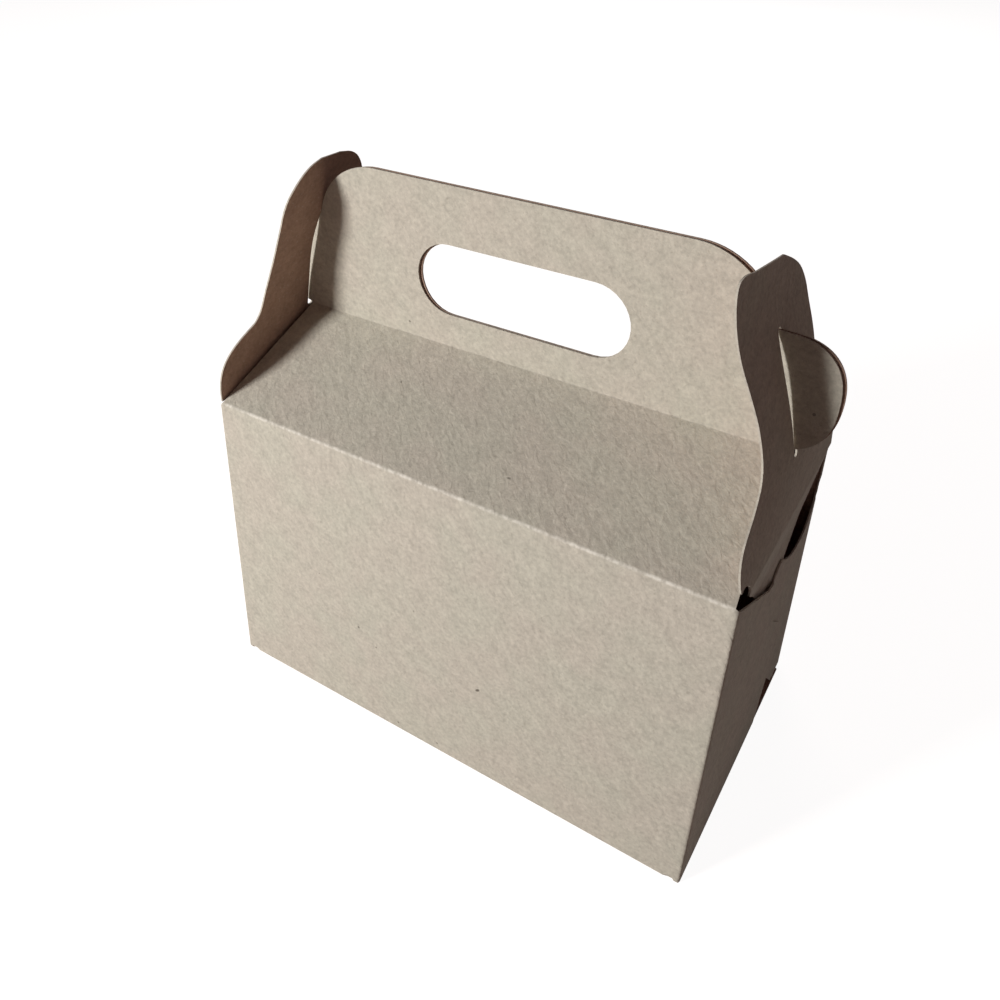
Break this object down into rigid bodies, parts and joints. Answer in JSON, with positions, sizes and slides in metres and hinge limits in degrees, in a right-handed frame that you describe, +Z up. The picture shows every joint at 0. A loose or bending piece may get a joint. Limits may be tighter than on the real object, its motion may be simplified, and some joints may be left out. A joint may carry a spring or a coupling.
{
  "type": "kraft lunch box",
  "caption": "Folded kraft board gable box with a carrying handle on the ridge, and closing flaps at its ends that hook over the handle's tabs.",
  "frame": {"origin": "on the ground under the middle of the base", "axes": "+Z up, +X along the ridge and the handle, +Y from the front wall to the back wall"},
  "size_m": [0.2136, 0.1136, 0.2036],
  "materials": {
    "kraft_body": "matte",
    "kraft_flap": "matte"
  },
  "bodies": {
    "box": {"box_body": "kraft_body"},
    "right_flap": {"right_closing_flap": "kraft_flap"},
    "left_flap": {"left_closing_flap": "kraft_flap"}
  },
  "joints": [
    {"name": "right_flap_crease", "type": "hinge", "parent": "box", "child": "right_flap", "pos_m": [0.1, 0, 0.12075], "axis": [0, 1, 0], "range_deg": [0, 120]},
    {"name": "left_flap_crease", "type": "hinge", "parent": "box", "child": "left_flap", "pos_m": [-0.1, 0, 0.12075], "axis": [0, -1, 0], "range_deg": [0, 120]}
  ]
}
